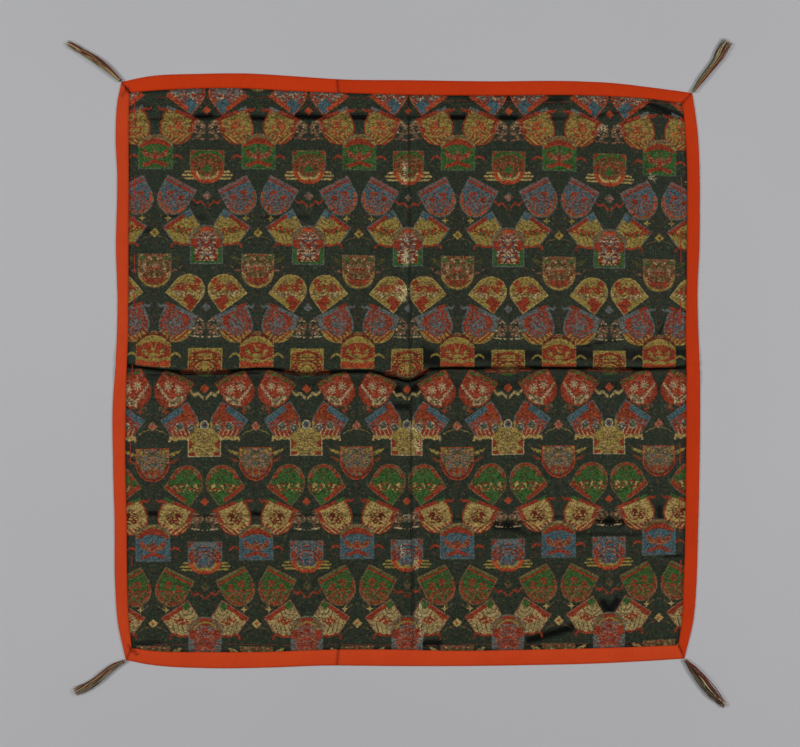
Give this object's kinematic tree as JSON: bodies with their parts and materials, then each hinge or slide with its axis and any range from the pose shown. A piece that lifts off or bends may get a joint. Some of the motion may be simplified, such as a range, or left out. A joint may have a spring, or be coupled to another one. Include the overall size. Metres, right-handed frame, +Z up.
{
  "type": "fukusa, a square silk gift cover with a border and corner tassels",
  "caption": "Square lined gift cover of patterned silk lying flat, with a plain mitred border and a thread tassel at each corner.",
  "frame": {"origin": "middle of the cover with its tassels, on the surface it lies on", "axes": "+Z up off the surface, +Y up the cloth along its centre seam, +X to the right"},
  "size_m": [0.7786, 0.782, 0.0049],
  "materials": {
    "brocade": "dark green satin ground with matt coloured wefts",
    "border_silk": "plain vermilion silk, soft sheen",
    "thread": "mixed silk and gilt threads"
  },
  "bodies": {
    "root": {"panel_left": "brocade", "panel_right": "brocade", "border_top_left": "border_silk", "border_top_right": "border_silk", "border_bottom_left": "border_silk", "border_bottom_right": "border_silk", "border_left": "border_silk", "border_right": "border_silk", "tassel_upper_left": "thread", "tassel_upper_right": "thread", "tassel_lower_left": "thread", "tassel_lower_right": "thread"}
  },
  "joints": []
}
